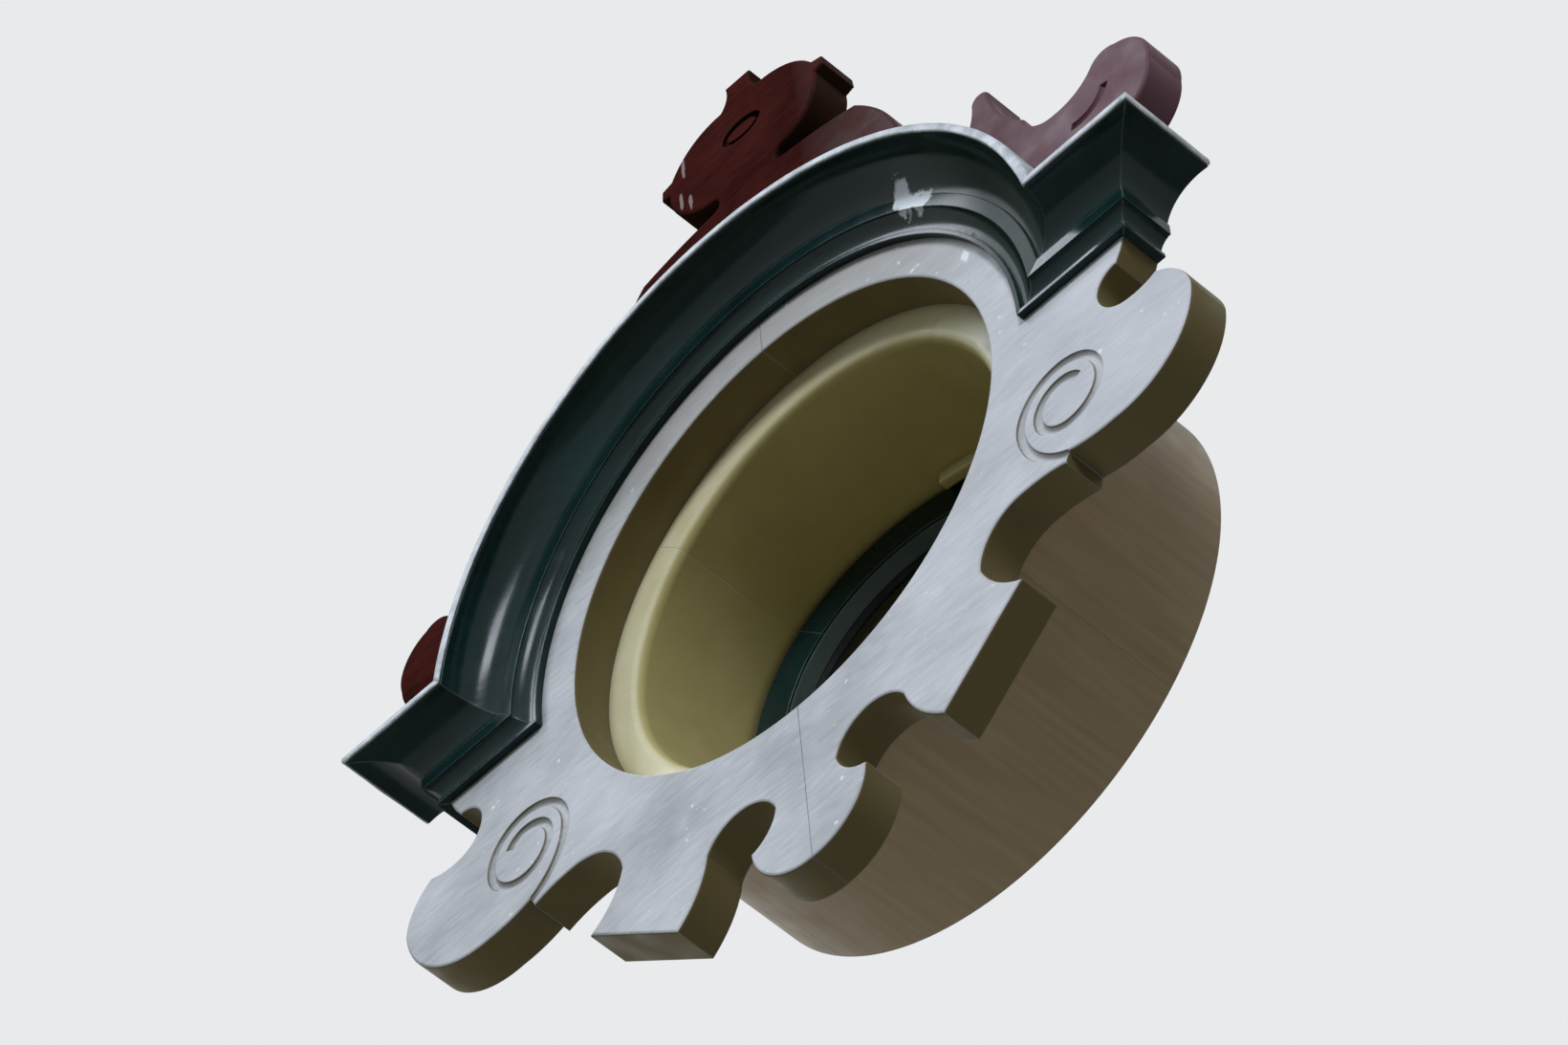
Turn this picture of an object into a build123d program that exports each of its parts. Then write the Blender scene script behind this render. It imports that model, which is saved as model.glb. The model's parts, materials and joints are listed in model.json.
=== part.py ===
from build123d import *
import math
import os

# Oculus window for the gable of a brick house, without the wall.
# A straight timber tube lines the round hole in the wall and carries a round pivoting sash.
# Outside, a fretted board surrounds the hole, a moulded hood with a leaded top shelters it,
# and sawn crest pieces stand on the hood.
# Millimetres. X runs right along the wall, Z up. The wall face is the plane Y = 0, outside is -Y.
# The origin is the centre of the round hole, in the wall face.

os.makedirs("parts", exist_ok=True)

# Gaps between pieces
SEAM = 0.2
SEAT_GAP = 0.3
STOP_GAP = 0.3
NOSE_GAP = 1.0

# How far tool bodies and zones reach past what they cut
CUT_PAST = 5.0
MITRE_PAST = 15.0
SEAM_PAST = 12.0
ZONE_PAST = 60.0

# Frame, a ring of four timber segments
TUBE_R = 194.0
FRAME_WALL = 56.0
FRAME_DEPTH = 190.0
FRAME_EDGE_R = 9.0
SEGMENTS = 4
DOWEL_R = 6.0
DOWEL_LENGTH = 60.0
DOWEL_SETBACK = 48.0

# Sash, glass and putty
SASH_GAP = 2.5
SASH_WALL = 41.0
SASH_THICK = 36.0
SASH_FROM_BACK = 47.5
SASH_EDGE_R = 3.0
SASH_OVOLO = 9.0
REBATE_WIDTH = 10.0
REBATE_DEPTH = 18.0
GLASS_THICK = 4.0
GLASS_PLAY = 0.5
PUTTY_SETBACK = 2.0
PUTTY_SIGHT = 1.0
SASH_DOWEL_R = 4.0
SASH_DOWEL_LENGTH = 40.0

# Stop beads
BEAD_WIDTH = 12.0
BEAD_THICK = 11.0
BEAD_PIVOT_CLEAR = 24.0
BEAD_EDGE_R = 3.0

# Pivots, on the upright axis through the middle of the sash
AJAR_DEG = 7.1
PIN_R = 4.0
PIN_PLAY = 0.1
PIN_FLANGE_R = 9.0
PIN_FLANGE_THICK = 2.5
PIN_FLANGE_SET = 1.0
PIN_TAIL = 20.0
PIN_NOSE = 14.0
SOCKET_R = 9.0
SOCKET_FLOOR = 3.0
SOCKET_PROUD = 1.0

# Pull knob on the inside of the sash
KNOB_R = 12.0
KNOB_NECK_R = 5.0
KNOB_ROSE_R = 14.0
KNOB_ROSE_THICK = 3.0
KNOB_ROSE_EDGE_R = 1.4
KNOB_LENGTH = 34.0
KNOB_FLATNESS = 0.7

# Fretted board round the hole, in two halves
HOLE_R = 226.0
BOARD_THICK = 38.0
BOARD_TUCK = 40.0
BOARD_ARRIS = 2.0
LOBE_X = 339.0
LOBE_Z = -118.0
LOBE_R = 82.0
END_NOTCH_OUT = 19.0
END_NOTCH_RISE = 68.0
END_NOTCH_R = 24.0
SIDE_NOTCH_IN = 102.0
SIDE_NOTCH_DROP = 127.0
SIDE_NOTCH_R = 47.0
LOW_NOTCH_X = 68.0
LOW_NOTCH_Z = -328.0
LOW_NOTCH_R = 37.0
CENTRE_LOBE_Z = -345.0
CENTRE_LOBE_R = 61.0
TOOTH_TIP_X = 139.0
TOOTH_TIP_Z = -367.0
VOLUTE_IN = 50.0
VOLUTE_DROP = 12.0
VOLUTE_R = 43.0
VOLUTE_CLOSING = 4.5
GROOVE_R = 4.6
GROOVE_DEPTH = 3.6

# Hood moulding, measured as height over its foot and reach from the wall
HOOD_MARGIN = 36.0
HOOD_FOOT_Z = -3.0
HOOD_HEIGHT = 70.0
HOOD_REACH = 90.0
RETURN_LENGTH = 105.0
END_REACH = 61.0
FILLET_LOW_REACH = 45.0
FILLET_LOW_HEIGHT = 4.0
SCOTIA_REACH = 42.0
FILLET_MID_REACH = 52.0
FILLET_MID_STEP = 2.0
FILLET_MID_FOOT = 21.0
FILLET_MID_TOP = 33.0
COVE_LIP_HEIGHT = 6.5
COVE_LIP_REACH = 3.0

# Lead dressed over the hood
LEAD_THICK = 2.5
LEAD_LIP = 9.5

# Crest boards that stand on the leaded hood
CREST_THICK = 37.0
CREST_ARRIS = 2.5
CREST_RISE = 272.0
KNOP_HALF = 14.0
KNOP_HEIGHT = 27.0
PALM_HALF = 84.0
PALM_RISE = 187.0
TIP_REACH = 9.0
STEM_HALF = 31.0
STEM_NOTCH = 17.0
SHOULDER_X = 121.0
SHOULDER_RISE = 105.0
CREST_FOOT_X = 186.0
OVAL_LONG = 22.0
OVAL_SHORT = 13.0
OVAL_RIM = 6.0
OVAL_DEPTH = 5.0
SCROLL_OUT = 38.0
SCROLL_RISE = 117.0
SCROLL_R = 51.0
HOOK_DEG = 51.0
HOOK_RISE = 68.0
CUT_R = 3.2

# Worked out from the sizes above
FRAME_R = TUBE_R + FRAME_WALL
SASH_R = TUBE_R - SASH_GAP
SIGHT_R = SASH_R - SASH_WALL
SASH_SETBACK = FRAME_DEPTH - SASH_FROM_BACK
PIVOT_Y = SASH_SETBACK + SASH_THICK / 2
END_NOTCH_X = LOBE_X + END_NOTCH_OUT
END_NOTCH_Z = LOBE_Z + END_NOTCH_RISE
SIDE_NOTCH_X = LOBE_X - SIDE_NOTCH_IN
SIDE_NOTCH_Z = LOBE_Z - SIDE_NOTCH_DROP
VOLUTE_X = LOBE_X - VOLUTE_IN
VOLUTE_Z = LOBE_Z - VOLUTE_DROP
HOOD_R = HOLE_R + HOOD_MARGIN
HOOD_FOOT_HALF = HOOD_R + RETURN_LENGTH
HOOD_HALF = HOOD_FOOT_HALF + END_REACH
HOOD_TOP_Z = HOOD_FOOT_Z + HOOD_HEIGHT
COVE_TOP = HOOD_HEIGHT - COVE_LIP_HEIGHT
COVE_REACH = HOOD_REACH - COVE_LIP_REACH
BOARD_TOP_R = HOOD_R + BOARD_TUCK
BOARD_TOP_Z = HOOD_FOOT_Z + BOARD_TUCK
REBATE_U = BOARD_TUCK + SEAT_GAP
LEAD_TOP_Z = HOOD_TOP_Z + LEAD_THICK
LEAD_R = HOOD_R + HOOD_HEIGHT + LEAD_THICK
CREST_FOOT_R = LEAD_R + SEAT_GAP
CREST_FOOT_Z = LEAD_TOP_Z + SEAT_GAP
CREST_TOP = CREST_FOOT_R + CREST_RISE
PALM_Z = CREST_FOOT_R + PALM_RISE
SHOULDER_Z = CREST_FOOT_R + SHOULDER_RISE
CREST_VALLEY_X = math.sqrt(CREST_FOOT_R**2 - CREST_FOOT_Z**2)
SCROLL_X = CREST_VALLEY_X + SCROLL_OUT
SCROLL_Z = CREST_FOOT_Z + SCROLL_RISE


def save(shape, name):
    shape.label = name
    export_step(shape, f"parts/{name}.step")


def mirrored(shape):
    return mirror(shape, about=Plane.YZ)


def board(face, thickness, arris):
    # Stands an elevation drawn in X and Z on the wall, gives it its thickness and eases its
    # front arris in two slopes.
    body = extrude(Plane.XZ * face, amount=thickness - arris)
    steep = extrude(front_face(body), amount=arris * 0.6, taper=22)
    flat = extrude(front_face(steep), amount=arris * 0.4, taper=62)
    return body + steep + flat


def front_face(solid):
    return solid.faces().sort_by(Axis.Y)[0]


def ring_segment(profile, start_deg, sweep_deg):
    # The profile is drawn in X (radius) and Y (depth) and turned about the axis of the tube,
    # from an angle measured from X towards Z.
    turned = revolve(profile, axis=Axis.Y, revolution_arc=sweep_deg)
    return Rot(0, -(start_deg + sweep_deg), 0) * turned


def polygon(points):
    return make_face(Polyline(*points, close=True))


def near(x, z, radius, across, up):
    # A point set out from a centre, in parts of a radius.
    return (x + across * radius, z + up * radius)


def polar(radius, angle_deg):
    a = math.radians(angle_deg)
    return (radius * math.cos(a), radius * math.sin(a))


# Frame of the round opening

def frame_profile():
    block = Pos((TUBE_R + FRAME_R) / 2, FRAME_DEPTH / 2) * Rectangle(FRAME_WALL, FRAME_DEPTH)
    inner_front = block.vertices().sort_by(Axis.Y)[:2].sort_by(Axis.X)[0]
    return fillet(inner_front, FRAME_EDGE_R)


def dowel_at(radius, depth, angle_deg, r, length):
    # A dowel across the radial joint at this angle, square to the joint.
    a = math.radians(angle_deg)
    place = Plane(
        origin=(radius * math.cos(a), depth, radius * math.sin(a)),
        z_dir=(-math.sin(a), 0, math.cos(a)),
    )
    return place * Cylinder(r, length)


def joint_angles():
    step = 360 / SEGMENTS
    return [step / 2 + step * i for i in range(SEGMENTS)]


def frame_dowels():
    mid = (TUBE_R + FRAME_R) / 2
    depths = (DOWEL_SETBACK, FRAME_DEPTH - DOWEL_SETBACK)
    return [dowel_at(mid, y, a, DOWEL_R, DOWEL_LENGTH) for a in joint_angles() for y in depths]


def make_frame():
    names = ["frame_jamb_right", "frame_head", "frame_jamb_left", "frame_sill"]
    step = 360 / SEGMENTS
    dowels = frame_dowels()
    for i, name in enumerate(names):
        segment = ring_segment(frame_profile(), i * step - step / 2, step)
        for dowel in dowels:
            segment = segment - dowel
        if name in ("frame_head", "frame_sill"):
            side = 1 if name == "frame_head" else -1
            segment = segment - socket_hole(side)
        save(segment, name)
    save(Compound(dowels), "frame_dowels")


# Pivots

def upright(side, radius, low, high):
    # A cylinder on the pivot axis between two distances from the middle, above or below it.
    z = side * (low + high) / 2
    return Pos(0, PIVOT_Y, z) * Cylinder(radius, high - low)


def socket_face():
    # The socket stands just proud of the sash's sweep, whose corners turn wider than its rim.
    return math.hypot(SASH_R, SASH_THICK / 2) + SOCKET_PROUD


def nose_tip():
    return SASH_R + PIN_NOSE


def socket_floor():
    return nose_tip() + NOSE_GAP + SOCKET_FLOOR


def socket_hole(side):
    return upright(side, SOCKET_R, SIGHT_R, socket_floor())


def make_sockets():
    for side, name in ((1, "pivot_socket_top"), (-1, "pivot_socket_bottom")):
        cup = upright(side, SOCKET_R, socket_face(), socket_floor())
        bore = upright(side, PIN_R + PIN_PLAY, socket_face() - CUT_PAST, nose_tip() + NOSE_GAP)
        save(cup - bore, name)


def pin(side):
    shank = upright(side, PIN_R, SASH_R - PIN_TAIL, nose_tip())
    flange_top = SASH_R - PIN_FLANGE_SET
    return shank + upright(side, PIN_FLANGE_R, flange_top - PIN_FLANGE_THICK, flange_top)


def pin_hole(side):
    hole = upright(side, PIN_R, SASH_R - PIN_TAIL, SASH_R + CUT_PAST)
    seat_low = SASH_R - PIN_FLANGE_SET - PIN_FLANGE_THICK
    return hole + upright(side, PIN_FLANGE_R, seat_low, SASH_R + CUT_PAST)


# Sash, drawn closed and then swung ajar as one

def ajar(shape):
    about = Axis((0, PIVOT_Y, 0), (0, 0, 1))
    return shape.rotate(about, AJAR_DEG)


def sash_profile():
    out = SASH_SETBACK
    back = SASH_SETBACK + SASH_THICK
    rebate_r = SIGHT_R + REBATE_WIDTH
    shoulder = out + REBATE_DEPTH
    outline = [
        (rebate_r, out),
        (SASH_R, out),
        (SASH_R, back),
        (SIGHT_R, back),
        (SIGHT_R, shoulder),
        (rebate_r, shoulder),
    ]
    face = polygon(outline)
    rim_front = face.vertices().sort_by(Axis.X)[-2:].sort_by(Axis.Y)
    face = fillet(rim_front, SASH_EDGE_R)
    inner_back = face.vertices().group_by(Axis.X)[0].sort_by(Axis.Y)[-1]
    return fillet(inner_back, SASH_OVOLO)


def sash_dowels():
    mid = (SIGHT_R + REBATE_WIDTH + SASH_R) / 2
    return [dowel_at(mid, PIVOT_Y, a, SASH_DOWEL_R, SASH_DOWEL_LENGTH) for a in joint_angles()]


def make_sash():
    names = ["sash_stile_right", "sash_head", "sash_stile_left", "sash_sill"]
    step = 360 / SEGMENTS
    dowels = sash_dowels()
    for i, name in enumerate(names):
        segment = ring_segment(sash_profile(), i * step - step / 2, step)
        for dowel in dowels:
            segment = segment - dowel
        if name in ("sash_head", "sash_sill"):
            segment = segment - pin_hole(1 if name == "sash_head" else -1)
        save(ajar(segment), name)
    save(Compound([ajar(dowel) for dowel in dowels]), "sash_dowels")
    save(ajar(pin(1)), "pivot_pin_top")
    save(ajar(pin(-1)), "pivot_pin_bottom")


def make_glazing():
    shoulder = SASH_SETBACK + REBATE_DEPTH
    front = shoulder - GLASS_THICK
    rebate_r = SIGHT_R + REBATE_WIDTH
    pane = Pos(0, shoulder, 0) * (Plane.XZ * Circle(rebate_r - GLASS_PLAY))
    save(ajar(extrude(pane, amount=GLASS_THICK)), "glass_pane")
    edge = SASH_SETBACK + PUTTY_SETBACK
    wedge = polygon([(SIGHT_R + PUTTY_SIGHT, front), (rebate_r, front), (rebate_r, edge)])
    save(ajar(ring_segment(wedge, 0, 360)), "glazing_putty")


def make_knob():
    # A turned knob: rose, neck and a rounded head, on the stile that swings inwards.
    base = SASH_SETBACK + SASH_THICK
    head_y = base + KNOB_LENGTH - KNOB_R * KNOB_FLATNESS
    rose = extrude(Pos(0, base, 0) * (Plane.XZ * Circle(KNOB_ROSE_R)), amount=-KNOB_ROSE_THICK)
    rose = fillet(rose.edges().sort_by(Axis.Y)[-1], KNOB_ROSE_EDGE_R)
    neck = extrude(Pos(0, base, 0) * (Plane.XZ * Circle(KNOB_NECK_R)), amount=base - head_y)
    head = Pos(0, head_y, 0) * scale(Sphere(KNOB_R), (1, KNOB_FLATNESS, 1))
    knob = rose + neck + head
    x = (SIGHT_R + SASH_OVOLO + SASH_R) / 2
    save(ajar(Pos(x, 0, 0) * knob), "pull_knob")


# Stop beads: the outer one behind which the right half closes, the inner one for the left half

def bead(front):
    inner = TUBE_R - BEAD_WIDTH
    face = Pos((inner + TUBE_R) / 2, front + BEAD_THICK / 2) * Rectangle(BEAD_WIDTH, BEAD_THICK)
    corners = face.vertices().group_by(Axis.X)[0]
    face = fillet(corners, BEAD_EDGE_R)
    lost = math.degrees(math.asin(BEAD_PIVOT_CLEAR / inner))
    return ring_segment(face, -90 + lost, 180 - 2 * lost)


def make_beads():
    outer_front = SASH_SETBACK - STOP_GAP - BEAD_THICK
    inner_front = SASH_SETBACK + SASH_THICK + STOP_GAP
    save(bead(outer_front), "stop_bead_outer")
    save(mirrored(bead(inner_front)), "stop_bead_inner")


# Fretted board

def near_lobe(across, up):
    return near(LOBE_X, LOBE_Z, LOBE_R, across, up)


def near_end_notch(across, up):
    return near(END_NOTCH_X, END_NOTCH_Z, END_NOTCH_R, across, up)


def near_side_notch(across, up):
    return near(SIDE_NOTCH_X, SIDE_NOTCH_Z, SIDE_NOTCH_R, across, up)


def near_low_notch(across, up):
    return near(LOW_NOTCH_X, LOW_NOTCH_Z, LOW_NOTCH_R, across, up)


def hole_z():
    return math.sqrt(HOLE_R**2 - SEAM_PAST**2)


def lower_edge():
    # Right half, from a little past the seam round the middle lobe, its notches and tooth to the lip.
    cusp = near(0, CENTRE_LOBE_Z, CENTRE_LOBE_R, 0.984, -0.066)
    diag = near(0, CENTRE_LOBE_Z, CENTRE_LOBE_R, math.sqrt(0.5), -math.sqrt(0.5))
    bottom = (-SEAM_PAST, CENTRE_LOBE_Z - math.sqrt(CENTRE_LOBE_R**2 - SEAM_PAST**2))
    low_in = near_low_notch(-0.973, 0.243)
    low_out = near_low_notch(0.946, 0.486)
    tip = (TOOTH_TIP_X, TOOTH_TIP_Z)
    heel = near_side_notch(-0.202, -0.979)
    side_in = near_side_notch(-1, 0)
    side_top = near_side_notch(0.106, 1)
    lip = near_lobe(-0.683, -1.055)
    return [
        Line((-SEAM_PAST, -hole_z()), bottom),
        ThreePointArc(bottom, diag, cusp),
        ThreePointArc(cusp, near_low_notch(-0.703, -0.297), low_in),
        ThreePointArc(low_in, near_low_notch(-0.054, 1), low_out),
        ThreePointArc(low_out, near_low_notch(1.257, -0.324), tip),
        Line(tip, heel),
        ThreePointArc(heel, near_side_notch(-0.691, -0.585), side_in),
        ThreePointArc(side_in, near_side_notch(-0.66, 0.723), side_top),
        ThreePointArc(side_top, near_side_notch(0.553, 0.968), lip),
    ]


def lobe_edge():
    # From the lip round the lobe and the end notch to the foot of the hood.
    lip = near_lobe(-0.683, -1.055)
    lobe_start = near_lobe(-0.64, -0.921)
    lobe_low = near_lobe(-0.073, -1)
    lobe_side = near_lobe(1.012, 0)
    lobe_top = near_lobe(0.634, 0.555)
    notch_low = near_end_notch(0.208, -1.146)
    notch_side = near_end_notch(-1, 0)
    notch_top = near_end_notch(-0.083, 1)
    corner = (HOOD_FOOT_HALF - SEAT_GAP, HOOD_FOOT_Z)
    toe = near(corner[0], corner[1], END_NOTCH_R, -0.196, -0.5)
    return [
        Line(lip, lobe_start),
        ThreePointArc(lobe_start, near_lobe(-0.354, -0.988), lobe_low),
        ThreePointArc(lobe_low, near_lobe(math.sqrt(0.5), -math.sqrt(0.5)), lobe_side),
        ThreePointArc(lobe_side, near_lobe(0.89, 0.329), lobe_top),
        ThreePointArc(lobe_top, near_lobe(0.463, 0.5), notch_low),
        ThreePointArc(notch_low, near_end_notch(-0.625, -0.792), notch_side),
        ThreePointArc(notch_side, near_end_notch(-0.708, 0.75), notch_top),
        Line(notch_top, toe),
        Line(toe, corner),
    ]


def hidden_edge():
    # Behind the hood and round the hole, back to the start of the lower edge.
    corner_x = HOOD_FOOT_HALF - SEAT_GAP
    crown_x = math.sqrt(BOARD_TOP_R**2 - BOARD_TOP_Z**2)
    crown = (-SEAM_PAST, math.sqrt(BOARD_TOP_R**2 - SEAM_PAST**2))
    return [
        Line((corner_x, HOOD_FOOT_Z), (corner_x, BOARD_TOP_Z)),
        Line((corner_x, BOARD_TOP_Z), (crown_x, BOARD_TOP_Z)),
        ThreePointArc((crown_x, BOARD_TOP_Z), polar(BOARD_TOP_R, 50), crown),
        Line(crown, (-SEAM_PAST, hole_z())),
        ThreePointArc((-SEAM_PAST, hole_z()), (HOLE_R, 0), (-SEAM_PAST, -hole_z())),
    ]


def volute_path():
    # Quarter turns, each on a smaller radius, as a volute is set out with compasses.
    start = near(VOLUTE_X, VOLUTE_Z, VOLUTE_R, -0.093, -1.535)
    centre = near(VOLUTE_X, VOLUTE_Z, VOLUTE_R, -0.035, -0.07)
    path = [RadiusArc(start, (centre[0] - VOLUTE_R, centre[1]), VOLUTE_R + LOBE_R * 0.354)]
    radius = VOLUTE_R
    angle = 180
    for turn in (90, 90, 90, 90, 90, 60):
        path.append(CenterArc(centre, radius, angle, -turn))
        angle -= turn
        step = polar(VOLUTE_CLOSING, angle)
        centre = (centre[0] + step[0], centre[1] + step[1])
        radius -= VOLUTE_CLOSING
    return path


def groove(path, reach, radius, depth):
    # A round-bottomed cut that follows the path on a face at this reach from the wall.
    lifted = Pos(0, -(reach + radius - depth), 0) * (Plane.XZ * Wire(path))
    section = Plane(origin=lifted @ 0, z_dir=lifted % 0) * Circle(radius)
    return sweep(section, path=lifted)


def surround_half():
    # Cut at the seam after its arris is eased, so that the halves meet flush.
    outline = lower_edge() + lobe_edge() + hidden_edge()
    solid = board(make_face(Wire(outline)), BOARD_THICK, BOARD_ARRIS)
    far = LOBE_X + LOBE_R + ZONE_PAST
    beyond = Plane.XZ * (Pos(SEAM + far, 0) * Rectangle(2 * far, 4 * far))
    right = solid & extrude(beyond, amount=BOARD_THICK + CUT_PAST)
    return right - groove(volute_path(), BOARD_THICK, GROOVE_R, GROOVE_DEPTH)


def make_surround():
    half = surround_half()
    save(half, "surround_right")
    save(mirrored(half), "surround_left")


# Hood moulding

def hood_section(place):
    # The moulding as reach over height; place turns (reach, height) into a drawing point.
    def p(reach, height):
        return place(reach, height)

    cove_foot = FILLET_MID_REACH - FILLET_MID_STEP
    cove_mid = math.radians(45)
    cove_w = COVE_REACH - cove_foot
    cove_h = COVE_TOP - FILLET_MID_TOP
    scotia_w = FILLET_MID_REACH - FILLET_MID_STEP - SCOTIA_REACH
    scotia_h = FILLET_MID_FOOT - FILLET_LOW_HEIGHT
    return [
        Line(p(BOARD_THICK, 0), p(FILLET_LOW_REACH, 0)),
        Line(p(FILLET_LOW_REACH, 0), p(FILLET_LOW_REACH, FILLET_LOW_HEIGHT)),
        Line(p(FILLET_LOW_REACH, FILLET_LOW_HEIGHT), p(SCOTIA_REACH, FILLET_LOW_HEIGHT)),
        ThreePointArc(
            p(SCOTIA_REACH, FILLET_LOW_HEIGHT),
            p(SCOTIA_REACH + scotia_w * 0.22, FILLET_LOW_HEIGHT + scotia_h * 0.62),
            p(SCOTIA_REACH + scotia_w, FILLET_MID_FOOT),
        ),
        Line(p(SCOTIA_REACH + scotia_w, FILLET_MID_FOOT), p(FILLET_MID_REACH, FILLET_MID_FOOT)),
        Line(p(FILLET_MID_REACH, FILLET_MID_FOOT), p(FILLET_MID_REACH, FILLET_MID_TOP)),
        Line(p(FILLET_MID_REACH, FILLET_MID_TOP), p(cove_foot, FILLET_MID_TOP)),
        ThreePointArc(
            p(cove_foot, FILLET_MID_TOP),
            p(cove_foot + cove_w * (1 - math.cos(cove_mid)), FILLET_MID_TOP + cove_h * math.sin(cove_mid)),
            p(COVE_REACH, COVE_TOP),
        ),
        Line(p(COVE_REACH, COVE_TOP), p(HOOD_REACH, COVE_TOP)),
        Line(p(HOOD_REACH, COVE_TOP), p(HOOD_REACH, HOOD_HEIGHT)),
        Line(p(HOOD_REACH, HOOD_HEIGHT), p(0, HOOD_HEIGHT)),
        Line(p(0, HOOD_HEIGHT), p(0, REBATE_U)),
        Line(p(0, REBATE_U), p(BOARD_THICK, REBATE_U)),
        Line(p(BOARD_THICK, REBATE_U), p(BOARD_THICK, 0)),
    ]


def mitre_point(height):
    # Where a ring of this height over the foot meets the level line of the same height.
    z = HOOD_FOOT_Z + height
    return (math.sqrt((HOOD_R + height) ** 2 - z**2), z)


def mitre_edges():
    # The arch meets the level returns on a line that is a little curved.
    return [mitre_point(-MITRE_PAST), mitre_point(HOOD_HEIGHT / 2), mitre_point(HOOD_HEIGHT + MITRE_PAST)]


def arch_zone():
    # Elevation of all that belongs to the arch, between its two mitres.
    low, mid, high = mitre_edges()
    far = HOOD_R + HOOD_HEIGHT + ZONE_PAST
    zone = Wire([
        ThreePointArc(low, mid, high),
        Line(high, (high[0], far)),
        Line((high[0], far), (-high[0], far)),
        Line((-high[0], far), (-high[0], high[1])),
        ThreePointArc((-high[0], high[1]), (-mid[0], mid[1]), (-low[0], low[1])),
        Line((-low[0], low[1]), low),
    ])
    return extrude(Plane.XZ * make_face(zone), amount=HOOD_REACH + ZONE_PAST)


def return_zone():
    # Elevation of all that lies beyond the right mitre.
    low, mid, high = mitre_edges()
    far = HOOD_HALF + ZONE_PAST
    zone = Wire([
        ThreePointArc(low, mid, high),
        Line(high, (far, high[1])),
        Line((far, high[1]), (far, low[1])),
        Line((far, low[1]), low),
    ])
    return extrude(Plane.XZ * make_face(zone), amount=HOOD_REACH + ZONE_PAST)


def end_slope():
    # The end reaches further out than the front does, so its mitre isn't at 45 degrees.
    return (HOOD_HALF - HOOD_FOOT_HALF) / (HOOD_REACH - BOARD_THICK)


def end_x(reach):
    return HOOD_FOOT_HALF + (reach - BOARD_THICK) * end_slope()


def front_zone():
    # Plan of what lies in front of the end mitre.
    corner_x = end_x(BOARD_THICK)
    far = HOOD_REACH + ZONE_PAST
    plan = polygon([(0, 0), (corner_x, 0), (corner_x, -BOARD_THICK), (end_x(far), -far), (0, -far)])
    return Pos(0, 0, HOOD_FOOT_Z - ZONE_PAST) * extrude(plan, amount=HOOD_HEIGHT + 2 * ZONE_PAST)


def arch_body(section_edges):
    return ring_segment(make_face(Wire(section_edges)), -10, 200)


def make_hood():
    # In the drawing plane of a turned piece X is the radius and Y the depth.
    arch = arch_body(hood_section(lambda reach, height: (HOOD_R + height, -reach)))
    save(arch & arch_zone(), "hood_arch")

    level = hood_section(lambda reach, height: (-reach, HOOD_FOOT_Z + height))
    bar = extrude(Plane.YZ * make_face(Wire(level)), amount=HOOD_HALF + ZONE_PAST)
    front = bar & return_zone() & front_zone()
    save(front, "hood_return_right")
    save(mirrored(front), "hood_return_left")

    def at_end(reach, height):
        return (end_x(reach), HOOD_FOOT_Z + height)

    outer = hood_section(at_end)[:-4]
    top = (end_x(BOARD_THICK), HOOD_FOOT_Z + HOOD_HEIGHT)
    foot = (end_x(BOARD_THICK), HOOD_FOOT_Z)
    outer.append(Line(at_end(HOOD_REACH, HOOD_HEIGHT), top))
    outer.append(Line(top, foot))
    end_bar = extrude(Plane.XZ * make_face(Wire(outer)), amount=HOOD_REACH + ZONE_PAST)
    end = end_bar - front_zone()
    save(end, "hood_end_right")
    save(mirrored(end), "hood_end_left")


# Lead dressed over the hood

def lead_section(place):
    top = HOOD_HEIGHT + LEAD_THICK
    out = HOOD_REACH + LEAD_THICK
    drip = top - LEAD_LIP
    points = [(0, HOOD_HEIGHT), (HOOD_REACH, HOOD_HEIGHT), (HOOD_REACH, drip), (out, drip), (out, top), (0, top)]
    return polygon([place(reach, height) for reach, height in points])


def make_lead():
    section = lead_section(lambda reach, height: (HOOD_R + height, -reach))
    arch = ring_segment(section, -10, 200)
    save(arch & arch_zone(), "lead_arch")

    out = HOOD_REACH + LEAD_THICK
    right = end_x(HOOD_REACH) + LEAD_THICK
    drip_z = LEAD_TOP_Z - LEAD_LIP
    cover = Box(right, out, LEAD_LIP, align=(Align.MIN, Align.MAX, Align.MAX))
    under = Box(right - LEAD_THICK, HOOD_REACH, LEAD_LIP - LEAD_THICK, align=(Align.MIN, Align.MAX, Align.MIN))
    sheet = Pos(0, 0, LEAD_TOP_Z) * cover - Pos(0, 0, drip_z) * under
    sheet = sheet & return_zone()
    save(sheet, "lead_right")
    save(mirrored(sheet), "lead_left")


# Crest

def near_palm(across, up):
    return near(0, PALM_Z, PALM_HALF, across, up)


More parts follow.
